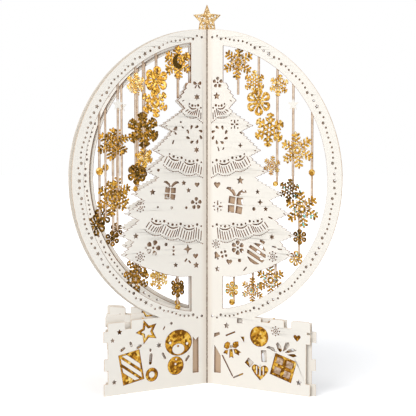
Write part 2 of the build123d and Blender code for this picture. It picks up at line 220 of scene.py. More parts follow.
def gift_holes(size, tilt):
    """Four panes between crossed ribbons, with four curling ribbon loops on top."""
    loops = []
    for i in (-1, 1):
        for j in (-1, 1):
            pane = box_hole(size, size, 4 * i * j)
            loops.append(moved(pane, i * size * 0.66, j * size * 0.66))
    curl = [(0.0, 0.0), (0.35, 0.50), (0.85, 0.78), (1.30, 0.72), (1.42, 0.50), (1.05, 0.46), (0.60, 0.22),
            (0.25, -0.08)]
    for flip, turn, reach in ((1, 4, 1.15), (1, -30, 1.0), (-1, -6, 1.25), (-1, 32, 1.05)):
        loop = curl if flip > 0 else mirrored(curl)
        loops.append(moved(moved(loop, flip * 0.22, 0.0, size * reach, turn), 0, size * 1.42))
    return [moved(loop, 0, 0, 1, tilt) for loop in loops]


def bell_holes(size):
    """Half a bell given as points, with its mirror image, and a round clapper below."""
    body = [(0.0, 0.9), (0.32, 0.72), (0.42, 0.1), (0.78, -0.45), (0.78, -0.62)]
    body = [(u * size, z * size) for u, z in body]
    return [body + [(-u, z) for u, z in reversed(body[1:])],
            moved(round_hole(size * 0.2, 8), 0, -size * 0.98)]


def striped_ball_holes(radius, tilt, stripes=2):
    """A bauble left as bands between curved cuts, with a cap slit."""
    loops = []
    edges = np.linspace(-1, 1, stripes * 2 + 2)
    for low, high in zip(edges[::2], edges[1::2]):
        low, high = low * 0.98, high * 0.98
        a0, a1 = math.asin(low), math.asin(high)
        right = [(math.cos(a) * radius, math.sin(a) * radius) for a in np.linspace(a0, a1, 6)]
        loops.append(right + [(-u, z) for u, z in reversed(right) if u > radius * 0.02])
    loops.append(moved(box_hole(radius * 0.5, radius * 0.22), 0, radius * 1.35))
    return [moved(loop, 0, 0, 1, tilt) for loop in loops]


# Sheets of card

class Panel:
    """A flat panel: an outline and the holes cut in it. A hole that would touch another loop is left
    out."""

    def __init__(self, outline):
        self.loops, self.cloud = [np.asarray(outline, float)], self.along(outline)

    @staticmethod
    def along(loop):
        """Points every half millimetre or less along a closed loop."""
        p = np.asarray(loop, float)
        ends = np.roll(p, -1, axis=0)
        counts = np.maximum(1, np.ceil(np.hypot(*(ends - p).T) / 0.45).astype(int))
        return np.concatenate([a + (b - a) * (np.arange(n) / n)[:, None] for a, b, n in zip(p, ends, counts)])

    def solid_at(self, point):
        """Whether a point is on card, by the number of edges crossed on the way out."""
        crossed = 0
        for loop in self.loops:
            a, b = loop, np.roll(loop, -1, axis=0)
            straddles = (a[:, 1] > point[1]) != (b[:, 1] > point[1])
            with np.errstate(divide="ignore", invalid="ignore"):
                u = a[:, 0] + (point[1] - a[:, 1]) / (b[:, 1] - a[:, 1]) * (b[:, 0] - a[:, 0])
            crossed += int(np.count_nonzero(straddles & (u > point[0])))
        return crossed % 2 == 1

    def cut(self, loops, u=0.0, z=0.0, size=1.0, tilt=0.0, gap=0.36):
        """Cut each loop at its place, unless it comes nearer than the gap to another or lies off the
        card."""
        for loop in loops:
            loop = moved(loop, u, z, size, tilt)
            cloud = self.along(loop)
            middle = cloud.mean(axis=0)
            reach = np.abs(cloud - middle).max() + 1.5
            near = self.cloud[np.abs(self.cloud - middle).max(axis=1) < reach]
            if len(near) and np.hypot(*(near[:, None] - cloud[None]).transpose(2, 0, 1)).min() < gap:
                continue
            if self.solid_at(loop[0]):
                self.loops.append(loop)
                self.cloud = np.concatenate([self.cloud, cloud])


# The half tree's tips, notches, top and foot, as shares of the ring's radius from its centre
TREE_TIPS = ((0.228, 0.524), (0.356, 0.356), (0.414, 0.192), (0.472, 0.055), (0.580, -0.092), (0.632, -0.220),
             (0.672, -0.362), (0.658, -0.490))
TREE_NOTCHES = ((0.172, 0.470), (0.268, 0.318), (0.330, 0.150), (0.372, 0.010), (0.478, -0.140),
                (0.520, -0.268), (0.560, -0.408), (0.470, -0.590))
TREE_TOP, TREE_FOOT = (0.150, 0.640), ((0.330, -0.640), (0.210, -0.668))
# The edge of each half pile, as shares of its reach and height
PILES = {
    "left": ((1.000, 0.000), (1.000, 0.161), (0.962, 0.161), (0.962, 0.339), (0.996, 0.339), (0.996, 0.498),
             (0.962, 0.498), (0.962, 0.719), (1.000, 0.719), (1.000, 0.869), (0.962, 0.869), (0.962, 0.980),
             (0.800, 0.980), (0.800, 0.880), (0.744, 0.880), (0.744, 0.995)),
    "right": ((1.000, 0.000), (1.000, 0.161), (0.962, 0.161), (0.962, 0.695), (1.000, 0.695), (1.000, 0.828),
              (0.970, 0.828), (0.970, 0.855), (1.000, 0.855), (1.000, 0.980), (0.980, 1.000), (0.840, 1.000),
              (0.822, 0.980), (0.822, 0.894), (0.756, 0.894), (0.756, 0.980), (0.740, 0.995), (0.632, 0.995),
              (0.616, 0.939), (0.538, 0.939), (0.538, 0.995)),
}


def at_ring(share):
    """A place on the panel from shares of the ring's radius, counted from its centre."""
    return (share[0] * RING, CENTRE + share[1] * RING)


def outline(pile, reach, height):
    """The pile's edge up to where it meets the ring's circle, found by halving, then the circle to the
    top, then the fold."""
    edge = [(u * reach, z * height) for u, z in pile]
    edge.append((0.3 * reach, edge[-1][1]))
    points = [(0.0, 0.0)]
    for here, there in zip(edge, edge[1:]):
        points.append(here)
        if math.hypot(there[0], there[1] - CENTRE) < RING:
            break
    a, b = np.array(here), np.array(there)
    low, high = 0.0, 1.0
    for _ in range(40):
        share = (low + high) / 2
        p = a + (b - a) * share
        inside = math.hypot(p[0], p[1] - CENTRE) < RING
        low, high = (low, share) if inside else (share, high)
    meet = a + (b - a) * low
    start = math.degrees(math.atan2(meet[1] - CENTRE, meet[0]))
    arc = [(RING * cos(angle), CENTRE + RING * sin(angle)) for angle in np.linspace(start, 90, 90)]
    arc[-1] = (0.0, CENTRE + RING)
    return points + arc


def field(band, slim=1.0):
    """The ring's clear field: its circle, the spine strip's edge and the half tree's edge, whose tips
    carry needles: a straight run between notch and tip is broken into steps, and a point beside each step
    is set off by a fixed pair."""
    inner = RING - band
    end = math.degrees(math.acos(STRIP_EDGE / inner))
    points = [(inner * cos(angle), CENTRE + inner * sin(angle)) for angle in np.linspace(end, -end, 130)]
    points.append((STRIP_EDGE, at_ring(TREE_FOOT[-1])[1]))
    points += [at_ring(foot) for foot in reversed(TREE_FOOT)]
    starts = (TREE_TOP,) + TREE_NOTCHES[:-1]
    for tip, notch, start in reversed(list(zip(TREE_TIPS, TREE_NOTCHES, starts))):
        p, q, s = (np.array(at_ring((v[0] * slim, v[1]))) for v in (notch, tip, start))
        for k in range(4):
            a = p + (q - p) * (k / 4)
            points.append(tuple(a))
            points.append(tuple(p + (q - p) * ((k + 0.72) / 4) + np.array([0.10, -0.40])))
        points.append(tuple(q))
        steps = max(3, int(round(np.hypot(*(q - s)) / 3.0)))
        for k in range(steps - 1, 0, -1):
            a = s + (q - s) * (k / steps)
            points.append(tuple(a + np.array([-0.8, -0.7])))
            points.append(tuple(a))
    points.append(at_ring(TREE_TOP))
    points.append((STRIP_EDGE, at_ring(TREE_TOP)[1]))
    return points[::-1]


def ring_dots(panel, turn):
    """Repeats 30 degrees apart round the half ring: a star, dots of three sizes on each side, and a run
    of small dots whose distance from the centre waves as a sine."""
    for k in range(7):
        middle = -90 + 30 * k + turn
        panel.cut([moved(star_hole(1.25, start=middle), *polar(DOTS_RADIUS, middle))], 0, CENTRE)
        for side in (-1, 1):
            for away, out, size in ((2.7, 0.0, 0.64), (4.9, 0.9, 0.50), (6.9, -0.7, 0.76)):
                dot = moved(round_hole(size), *polar(DOTS_RADIUS + out, middle + side * away))
                panel.cut([dot], 0, CENTRE)
        for j in range(7):
            wave = 0.4 * math.sin(j * 1.05)
            panel.cut([moved(round_hole(0.50), *polar(DOTS_RADIUS + wave, middle + 9 + 2 * j))], 0, CENTRE)


def garland(panel, top, foot, top_end, foot_end, drop=0.0):
    """Swags of lace hung between cusps, u running out from the spine: a row of dots, a curved slit,
    standing slits and a row of pinholes. Each row sags below the line between its cusps as the sine of
    its share of the way. A first cusp is added past the spine, and holes nearer the spine or further out
    than the ends are left out."""
    def cusps(row):
        """The row of cusps with one more before it, as far from the first as the second is, all moved by
        the drop."""
        (u0, z0), (u1, z1) = row[:2]
        return np.array([(2 * u0 - u1, 2 * z0 - z1), *row], float) + (0.0, drop)

    top, foot = cusps(top), cusps(foot)
    for n in range(len(top) - 1):
        (u0, z0), (u1, z1), (v0, y0), (v1, y1) = top[n], top[n + 1], foot[n], foot[n + 1]
        for k in range(4):
            t = k / 4
            u = u0 + (u1 - u0) * t
            if 3.4 < u < top_end:
                z = z0 + (z1 - z0) * t - 1.3 * math.sin(math.pi * t)
                panel.cut([round_hole(0.68 if k % 2 == 0 else 0.44)], u, z)
        middle = (u0 + u1) / 2
        if 7.0 < middle < top_end:
            tilt = math.degrees(math.atan2(z1 - z0, u1 - u0))
            panel.cut([crescent_hole((u1 - u0) * 0.66, 1.3, 0.55)], middle, (z0 + z1) / 2 - 2.3, 1, tilt)
        for k in range(7):
            t = (k + 0.2) / 7
            u, v = u0 + (u1 - u0) * t, v0 + (v1 - v0) * t
            high = z0 + (z1 - z0) * t - 1.7 - 2.9 * math.sin(math.pi * t)
            low = y0 + (y1 - y0) * t + 1.3 - 1.6 * math.sin(math.pi * t)
            if 3.6 < v < foot_end and high - low > 1.0:
                tilt = -math.degrees(math.atan2(u - v, high - low))
                panel.cut([slit_hole(high - low, 0.34, tilt)], (u + v) / 2, (high + low) / 2)
        for k in range(11):
            t = k / 11
            v = v0 + (v1 - v0) * t
            if 3.2 < v < foot_end:
                panel.cut([round_hole(0.26, 6)], v, y0 + (y1 - y0) * t - 1.9 * math.sin(math.pi * t))


def tip_dashes(panel):
    """A faint short slit beside each branch's tip."""
    for tip in TREE_TIPS:
        u, z = at_ring(tip)
        panel.cut([slit_hole(1.3, 0.24, 64)], u - 3.6, z - 0.4)


def placed(panel, items, shift=(0.0, 0.0)):
    """Cut a list of (holes, u, z), each perhaps with a tilt, all moved by shift."""
    for holes, u, z, *tilt in items:
        panel.cut(holes, u + shift[0], z + shift[1], 1, *tilt)


def left_tree(panel, shift):
    """The cut-outs of the half tree on the left of the picture, each at its (u, z), perhaps with a
    tilt."""
    placed(panel, (
        (bow_holes(2.6), 7.1, 184.6), ([star_hole(2.0, 6)], 7.4, 176.6), (wreath_holes(5.4), 9.2, 154.0),
        ([star_hole(1.9, 6)], 7.7, 144.6), ([slit_hole(2.2, 0.7, 20)], 23.9, 149.4),
        ([round_hole(0.8)], 34.0, 132.8), ([round_hole(0.5)], 18.6, 161.4),
        (bow_holes(3.1), 24.2, 156.8, -10), ([slit_hole(1.4, 0.6, -50)], 17.2, 158.2),
        ([slit_hole(1.4, 0.6, 30)], 30.0, 151.2), (gift_holes(3.0, 6), 26.0, 118.6),
        ([star_hole(1.6)], 16.6, 124.7), ([heart_hole(1.6)], 7.3, 123.6), ([star_hole(1.9)], 37.9, 119.7),
        ([star_hole(1.5)], 13.3, 120.1), (flower_holes(3.8, 5), 7.9, 112.0),
        ([round_hole(0.7)], 25.0, 109.9), ([round_hole(0.7)], 14.9, 109.6),
        ([round_hole(0.6)], 47.0, 117.0), (dot_flake_holes(2.9), 46.2, 111.1),
        (dot_flake_holes(2.9), 46.4, 81.4), ([star_hole(1.8)], 49.2, 94.0),
        (flower_holes(4.8, 5, 40), 37.6, 86.3), ([round_hole(0.9)], 28.9, 87.9),
        ([round_hole(0.6)], 23.8, 86.0), ([round_hole(0.6)], 23.8, 83.8), ([round_hole(0.6)], 23.8, 81.6),
        ([star_hole(3.0, 4, 0.34)], 13.9, 84.3), ([heart_hole(1.7)], 8.4, 80.0),
        ([star_hole(2.0)], 8.0, 74.1), ([star_hole(1.5)], 22.3, 75.0),
        ([slit_hole(2.2, 0.7, 40)], 15.2, 77.6), ([slit_hole(2.0, 0.7, -40)], 12.6, 76.4),
        ([round_hole(0.5)], 42.6, 86.6), ([round_hole(0.5)], 34.4, 110.6),
        ([slit_hole(1.6, 0.6, 60)], 52.0, 103.0), ([slit_hole(1.6, 0.6, 70)], 55.0, 99.4),
    ), shift)


def right_tree(panel, shift):
    """The cut-outs of the half tree on the right of the picture."""
    placed(panel, (
        (flower_holes(3.4, 5), 7.8, 185.4), ([star_hole(2.3)], 7.1, 177.2),
        (ray_holes(3.4, 8, 0.7), 19.6, 160.1), (wreath_holes(5.4), 9.2, 153.7),
        ([star_hole(1.6, 4, 0.35)], 23.5, 147.4), ([slit_hole(2.6, 0.6, 16)], 8.4, 145.2),
        ([slit_hole(1.6, 0.6, -40)], 11.8, 145.4), ([slit_hole(1.6, 0.6, 60)], 24.0, 155.0),
        ([star_hole(2.6, 5, 0.4)], 23.5, 126.4), ([heart_hole(2.2)], 7.5, 123.6),
        (gift_holes(4.1, -6), 20.2, 111.4), (ray_holes(3.4, 8, 0.6), 7.9, 110.2),
        ([round_hole(0.7)], 7.9, 110.2), ([star_hole(1.4)], 35.4, 119.8),
        ([star_hole(1.8, 4, 0.4)], 37.1, 113.7), ([round_hole(1.0)], 32.9, 109.5),
        ([star_hole(1.5)], 40.9, 109.8), ([star_hole(1.7, 6)], 45.1, 93.2),
        ([slit_hole(2.8, 0.6, 70)], 44.0, 104.6), ([slit_hole(1.8, 0.5, 60)], 48.0, 102.6),
        (flower_holes(4.4, 6), 21.9, 85.6), (striped_ball_holes(6.3, -28, 3), 34.7, 82.6),
        (bell_holes(2.4), 7.1, 80.2, 24), (flower_holes(2.6, 4, 60, False), 12.2, 81.2),
        ([heart_hole(2.0)], 16.0, 76.8), ([round_hole(1.0)], 23.2, 77.9), ([star_hole(1.8)], 7.7, 71.7),
        (dot_flake_holes(2.6), 6.6, 87.0), (dot_flake_holes(2.9), 45.6, 81.6),
        ([slit_hole(3.0, 0.5, -40)], 27.0, 73.0), ([slit_hole(2.6, 0.5, 84)], 46.6, 87.4),
        ([slit_hole(2.6, 0.5, 86)], 50.4, 86.2),
    ), shift)


def left_base(panel, windows):
    """The gifts on the left: a toy, a ring, a star and a striped gift, with a spine window in the front
    sheet."""
    window = [[(6.5, 7.6), (10.4, 7.6), (10.4, 30.0), (8.6, 27.6), (6.5, 29.6)]]
    toy_head = oval(7.9, 1.17, 34)
    placed(panel, (
        (window if windows else [], 0, 0), ([toy_head], 20.4, 27.3), ([oval(5.6, 0.98)], 22.5, 13.3),
        ([round_hole(4.1)], 38.9, 9.6), ([star_hole(7.6, depth=0.48, start=72)], 41.9, 36.0),
        ([box_hole(14.0, 18.4, -10)], 52.6, 15.5), ([slit_hole(3.4, 1.3, 55)], 58.3, 26.9),
        ([slit_hole(3.0, 1.2, -18)], 52.8, 29.4), ([slit_hole(3.4, 1.3, 62)], 47.4, 27.4),
        ([star_hole(1.7)], 60.3, 37.4), ([star_hole(1.3)], 64.9, 32.8), ([star_hole(1.7, 6)], 34.0, 27.0),
        ([star_hole(1.5)], 64.0, 7.8), ([slit_hole(6.4, 1.7, 6)], 39.6, 19.2),
        ([slit_hole(1.6, 1.0)], 39.8, 24.6), ([slit_hole(4.2, 1.2, -28)], 30.6, 20.2),
        ([slit_hole(3.8, 1.1, 38)], 14.3, 17.0), ([heart_hole(1.7)], 60.3, 45.0),
        ([crescent_hole(5.4, 1.2, 0.5)], 38.4, 44.9, 1, 170),
        ([crescent_hole(4.6, 1.2, 0.5)], 35.4, 42.6, 1, 20), ([round_hole(0.7)], 25.4, 39.6),
        ([crescent_hole(3.8, 1.0, 0.6)], 17.6, 8.4, 1, 10), ([slit_hole(2.6, 0.5, 80)], 55.5, 39.7),
        ([slit_hole(2.0, 0.5, 30)], 30.4, 37.2),
    ))


def ribbon_bow():
    """The bow on the letter: two loops with a knot between them and three tails."""
    return [
        [(12.4, 23.6), (13.0, 26.0), (15.0, 27.3), (16.6, 26.6), (16.2, 23.9), (14.6, 22.6)],
        [(18.3, 24.3), (18.8, 26.9), (20.4, 27.8), (22.3, 28.0), (22.6, 25.6), (20.6, 23.9)],
        [(16.9, 25.0), (17.6, 25.4), (17.8, 24.2), (17.1, 23.8)],
        [(13.2, 21.8), (15.2, 22.0), (14.6, 19.4), (13.6, 20.0), (12.0, 19.9)],
        [(16.4, 22.8), (18.2, 22.9), (19.0, 17.6), (17.6, 18.4), (16.2, 17.5)],
        [(19.2, 23.0), (21.0, 23.4), (24.4, 21.6), (22.9, 21.2), (22.9, 19.6), (20.0, 20.8)],
    ]


def curly_bow():
    """Ribbon curls that stand on the paned gift."""
    return [
        [(50.8, 24.6), (49.4, 26.2), (48.3, 29.2), (49.3, 30.2), (51.2, 28.4), (52.0, 25.4)],
        [(52.8, 25.2), (53.6, 27.8), (54.6, 30.4), (56.6, 30.8), (56.9, 29.2), (55.0, 26.6)],
        [(54.2, 24.6), (56.4, 26.4), (59.6, 27.4), (61.6, 26.6), (59.4, 25.8), (56.6, 24.8)],
        [(55.6, 23.4), (58.0, 24.0), (60.4, 24.2), (61.8, 23.2), (59.6, 22.4)],
        [(48.6, 24.4), (46.2, 26.8), (43.2, 27.4), (41.4, 26.2), (43.8, 26.0), (46.0, 25.0)],
    ]


def right_base(panel, windows):
    """The gifts on the right: a letter with a ribbon, a bauble, hearts and a paned gift."""
    window = [[(5.6, 7.4), (9.9, 7.6), (9.9, 18.0), (5.6, 24.4)]]
    letter = ((13.7, 31.0, 20.1, 33.9), (20.4, 33.4, 27.9, 20.8), (11.2, 18.6, 18.5, 6.3),
              (19.0, 5.5, 25.8, 8.7))
    for u0, z0, u1, z1 in letter:
        tilt = -math.degrees(math.atan2(u1 - u0, z1 - z0))
        panel.cut([slit_hole(math.hypot(u1 - u0, z1 - z0), 0.62, tilt)], (u0 + u1) / 2, (z0 + z1) / 2)
    placed(panel, (
        (window if windows else [], 0, 0), ([[(5.6, 29.4), (9.4, 31.4), (9.0, 32.6), (5.6, 31.6)]], 0, 0),
        ([[(24.2, 31.2), (26.4, 31.4), (26.4, 28.0)]], 0, 0), (ribbon_bow(), 0, 0),
        ([round_hole(6.1)], 36.7, 32.6), ([box_hole(3.4, 1.2, -24)], 39.4, 40.2),
        ([box_hole(14.5, 13.4, -16)], 53.0, 15.2), ([heart_hole(5.8)], 37.4, 11.9),
        ([heart_hole(2.3)], 62.0, 34.4), ([star_hole(1.9)], 14.2, 37.2), (dot_flake_holes(2.7), 47.8, 36.9),
        ([star_hole(1.8)], 63.4, 7.5), ([box_hole(3.4, 2.6, 4)], 23.4, 41.0), (curly_bow(), 0, 0),
        ([box_hole(3.2, 6.8, 4)], 40.0, 21.0), ([box_hole(4.2, 4.0, -38)], 30.0, 16.0),
    ))


def pressed(side, pile, slim=FULL):
    """A whole flat panel with its field, lace and cut-outs. A slim one is an inner sheet's, whose art is
    moved."""
    tree, base = (left_tree, left_base) if side == "left" else (right_tree, right_base)
    inner = slim < FULL
    shift, dots_turn = (PARTNER_SHIFT, PARTNER_DOTS_TURN) if inner else ((0.0, 0.0), 0.0)
    drop = shift[1]
    panel = Panel(outline(PILES[side], *pile))
    panel.cut([field(BAND[side], slim)], gap=0.05)
    tree(panel, shift)
    base(panel, not inner)
    garland(panel, ((6.6, 171.6), (14.6, 173.9)), ((7.6, 164.2), (19.0, 168.2)), 14.4, 19.0, drop)
    garland(panel, ((7.1, 138.3), (18.1, 139.9), (29.0, 144.3)),
            ((8.0, 130.0), (20.4, 131.8), (31.5, 136.7)), 27.0, 31.6, drop)
    garland(panel, ((7.3, 99.0), (18.8, 99.9), (30.1, 102.0), (41.0, 105.4)),
            ((8.0, 89.4), (20.6, 91.1), (32.7, 93.9), (44.0, 98.2)), 40.0, 44.1, drop)
    tip_dashes(panel)
    ring_dots(panel, dots_turn)
    panel.cut([round_hole(0.8)], 3.4, 213.0)
    return panel.loops


def slanting_bar(low, high, w, h):
    """The part of the band between z = u + low and z = u + high that lies in a box of half width w and
    half height h."""
    def ends(c):
        """Where the line z = u + c enters and leaves the box."""
        a, b = max(-w, -h - c), min(w, h - c)
        return (a, a + c), (b, b + c)
    (a, b), (c, d) = ends(low), ends(high)
    loop = [a, b]
    if b[0] == w and d[0] < w:
        loop.append((w, h))
    loop += [d, c]
    if c[0] == -w and a[0] > -w:
        loop.append((-w, -h))
    return loop


# The reach and height of each sheet's left pile and right pile
PILE_SIZES = {"front": (COMMON_PILE, COMMON_PILE), "left": (COMMON_PILE, INNER_PILE),
              "back": (OUTER_PILE, COMMON_PILE)}
# Card left standing inside the cut-outs, as loops for the outline and its holes, and foils as (loops, u,
# z, layer)
LEFT_ISLANDS = [
    [moved(oval(3.3, 1.3), 20.6, 23.4), moved(oval(0.6, 1.2, 10), 20.8, 25.2)],
    [moved(round_hole(0.95, 10), 26.2, 27.6)], [moved(round_hole(0.95, 10), 14.5, 26.2)],
    [moved(round_hole(0.7, 10), 22.2, 17.2)], [moved(round_hole(0.8, 10), 22.6, 14.3)],
    [moved(round_hole(2.0, 18), 38.9, 9.6)], [moved(star_hole(4.1, depth=0.5, start=72), 41.9, 36.0)],
] + [[moved(slanting_bar(low, low + 3.3, 5.9, 8.3), 52.6, 15.5, 1, -10)] for low in (3.4, -2.1, -7.6)]
GIFT_PANES = [moved(moved(box_hole(4.4, 4.0), i * 3.3, j * 3.1), 53.0, 15.2, 1, -16) for i in (-1, 1)
              for j in (-1, 1)]
RIGHT_ISLANDS = [
    [moved(slit_hole(7.0 - abs(k) * 1.8, 0.95), 37.4 + k * 2.3, 12.0)] for k in (-1, 0, 1)
]
LEFT_FOILS = (
    ([oval(8.7, 1.17, 34)], 20.4, 27.3, 0), ([round_hole(6.3)], 22.5, 13.3, 1),
    ([round_hole(4.8)], 38.9, 9.6, 0), ([star_hole(9.2, depth=0.6, start=72)], 41.9, 36.0, 1),
    ([box_hole(15.3, 19.6, -10)], 52.6, 15.5, 0),
)
RIGHT_FOILS = (
    ([round_hole(6.9)], 36.7, 32.6, 0), ([box_hole(13.0, 12.0)], 18.2, 23.2, 0),
    ([heart_hole(6.9)], 37.4, 12.1, 0), ([heart_hole(3.2)], 62.0, 34.5, 0),
    ([box_hole(15.8, 14.7, -16)], 53.0, 15.2, 0),
)


# Meshes

def signed_area(loop):
    """Half the sum of u times the next z less the next u times z: positive when the loop runs
    counter-clockwise."""
    u, z = np.asarray(loop, float).T
    return 0.5 * float(np.sum(u * np.roll(z, -1) - np.roll(u, -1) * z))


class Pieces:
    """Flat closed plates gathered into one mesh: two caps over every loop, joined by walls."""

    def __init__(self):
        self.points, self.tones, self.count = [], [], 0
        self.tris, self.quads, self.finish, self.sides = [], [], [], []

    def plate(self, loops, low, high, sheet, side, tone=0.5, mitre=False, rim=0.0, hidden=0, front=0,
              twice=False, outer=1):
        """Caps at low and high on the panel's own depth axis, which points to the sheet's front, and
        walls along every loop. With a rim, the front cap, or each cap, starts that far into the card and
        a narrow slope leads to the wall. A mitre moves the points at the fold by their depth times the
        turn's tangent. The points are then turned by the panel's turn and about the spine. Numbers for
        front, hidden and outer choose the materials of the front cap, the back cap and the outline's
        walls."""
        loops = [np.asarray(loop, float) for loop in loops]
        loops = [loop if (signed_area(loop) > 0) == (k == 0) else loop[::-1] for k, loop in enumerate(loops)]
        flat = np.concatenate(loops)
        n = len(flat)
        caps = np.array(tessellate_polygon([[Vector((u, z, 0)) for u, z in loop] for loop in loops]), int)
        a, b, c = (flat[caps[:, k]] for k in range(3))
        wrong = (b[:, 0] - a[:, 0]) * (c[:, 1] - a[:, 1]) - (b[:, 1] - a[:, 1]) * (c[:, 0] - a[:, 0]) < 0
        caps[wrong] = caps[wrong][:, ::-1]
        starts = np.cumsum([0] + [len(loop) for loop in loops])
        after = np.concatenate([np.roll(np.arange(s, e), -1) for s, e in zip(starts, starts[1:])])
        before = np.empty(n, int)
        here = np.arange(n)
        before[after] = here
        turn, round_spine, fold = SHEETS[sheet]
        at_fold = np.abs(flat[:, 0]) < 1e-9 if mitre else np.zeros(n, bool)
        kept = ~(at_fold & at_fold[after])
        layers = [(flat, low)]
        if rim:
            ahead, behind = flat[after] - flat, flat - flat[before]
            ahead, behind = (v / np.maximum(np.hypot(*v.T), 1e-9)[:, None] for v in (ahead, behind))
            aside = np.stack([-(ahead + behind)[:, 1], (ahead + behind)[:, 0]], axis=1) / 2
            length = np.maximum(np.hypot(*aside.T), 0.6)
            inset = flat + rim * aside / (length**2)[:, None]
            inset[at_fold] = flat[at_fold]
            layers += [(flat, high - RIM_DROP), (inset, high)]
            if twice:
                layers = [(inset, low), (flat, low + RIM_DROP)] + layers[1:]
        else:
            layers.append((flat, high))
        u, w, z = [], [], []
        for spot, depth in layers:
            u.append(spot[:, 0] + at_fold * (depth - low) * math.tan(math.radians(turn)))
            w.append(np.full(n, depth))
            z.append(spot[:, 1])
        u, w, z = (np.concatenate(v) for v in (u, w, z))
        x, y = side * u, -w
        for degrees in (-side * turn, round_spine):
            x, y = x * cos(degrees) - y * sin(degrees), x * sin(degrees) + y * cos(degrees)
        self.points.append(np.stack([x + SPINE[0] + fold[0], y + SPINE[1] + fold[1], z], axis=1))
        top = n * (len(layers) - 1)
        tris = np.concatenate([caps + top, caps[:, ::-1]])
        walls = [np.stack([here, after, after + n, here + n], axis=1)[kept] + n * k
                 for k in range(len(layers) - 1)]
        walls = np.concatenate(walls)
        self.sides.append(np.tile(np.where(here < len(loops[0]), outer, 1)[kept], len(layers) - 1))
        if side < 0:
            tris, walls = tris[:, ::-1], walls[:, ::-1]
        self.tris.append(tris + self.count)
        self.quads.append(walls + self.count)
        self.finish.append(np.repeat([front, hidden], len(caps)))
        self.tones.append(np.full(n * len(layers), tone))
        self.count += n * len(layers)

    def made(self, name, materials, slot, *nodes):
        """One object at the origin, welded where two panels meet, with its walls in the second material
        or the outer one."""
        points, same = np.unique(np.round(np.concatenate(self.points), 5), axis=0, return_inverse=True)
        same = same.ravel()
        tones = np.zeros(len(points))
        tones[same] = np.concatenate(self.tones)
        tris, quads = same[np.concatenate(self.tris)], same[np.concatenate(self.quads)]
        mesh = bpy.data.meshes.new(name)
        mesh.vertices.add(len(points))
        mesh.vertices.foreach_set("co", (points * MM).ravel())
        mesh.loops.add(tris.size + quads.size)
        mesh.loops.foreach_set("vertex_index", np.concatenate([tris.ravel(), quads.ravel()]))
        mesh.polygons.add(len(tris) + len(quads))
        starts = np.concatenate([np.arange(len(tris)) * 3, tris.size + np.arange(len(quads)) * 4])
        mesh.polygons.foreach_set("loop_start", starts)
        mesh.polygons.foreach_set("material_index", np.concatenate([*self.finish, *self.sides]))
        mesh.attributes.new("tone", "FLOAT", "POINT").data.foreach_set("value", tones)
        mesh.update(calc_edges=True)
        mesh.validate()
        mesh.shade_flat()
        for material in materials:
            mesh.materials.append(material)
        piece = bpy.data.objects.new(name, mesh)
        bpy.context.scene.collection.objects.link(piece)
        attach(piece, "root")
        if nodes:
            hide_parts(*nodes)
        return piece


# Snowflakes, strips and star

def arms(half, hub, count=6, start=90.0, stout=1.2, short=0.0):
    """An outline of like arms: each is given as (along, aside) from the hub to the tip, on one side,
    mirrored about its middle and turned by equal angles. Thin short arms may stand between them."""
    wide = [(x, min(stout * y, 0.50 * x)) for x, y in half]
    points = []
    for k in range(count):
        middle = start + 360.0 * k / count
        between = middle - 180.0 / count
        if short:
            points += [polar(hub, between - 6), polar(short, between - 2.6)]
            points += [polar(short + 0.04, between), polar(short, between + 2.6)]
        points.append(polar(hub, between + (6 if short else 0)))
        whole = [(x, -y) for x, y in wide] + [(x, y) for x, y in reversed(wide) if y > 1e-9]
        points += [tuple(p) for p in moved(whole, 0, 0, 1, middle)]
    return points


# Half an arm of each kind, as shares of the flake's radius along and beside the arm
FERN = ((0.22, 0.07), (0.27, 0.08), (0.37, 0.19), (0.46, 0.21), (0.45, 0.10), (0.50, 0.08), (0.58, 0.24),
        (0.68, 0.27), (0.70, 0.19), (0.64, 0.07), (0.70, 0.07), (0.78, 0.24), (0.88, 0.24), (0.89, 0.15),
        (0.84, 0.05), (0.92, 0.07), (1.0, 0.0))
DOTTED = ((0.30, 0.09), (0.44, 0.07), (0.46, 0.18), (0.56, 0.25), (0.66, 0.22), (0.67, 0.10), (0.74, 0.06),
          (0.76, 0.15), (0.84, 0.20), (0.94, 0.16), (1.0, 0.0))
CRYSTAL = ((0.36, 0.12), (0.45, 0.10), (0.50, 0.24), (0.60, 0.32), (0.70, 0.27), (0.68, 0.12), (0.76, 0.08),
           (0.80, 0.20), (0.90, 0.19), (0.95, 0.08), (1.0, 0.0))
LOBES = ((0.34, 0.12), (0.50, 0.22), (0.70, 0.29), (0.88, 0.24), (0.98, 0.11), (1.0, 0.0))
SCALLOP = ((0.50, 0.16), (0.58, 0.27), (0.68, 0.24), (0.70, 0.13), (0.76, 0.24), (0.88, 0.27), (0.93, 0.15),
           (0.98, 0.13), (1.0, 0.0))


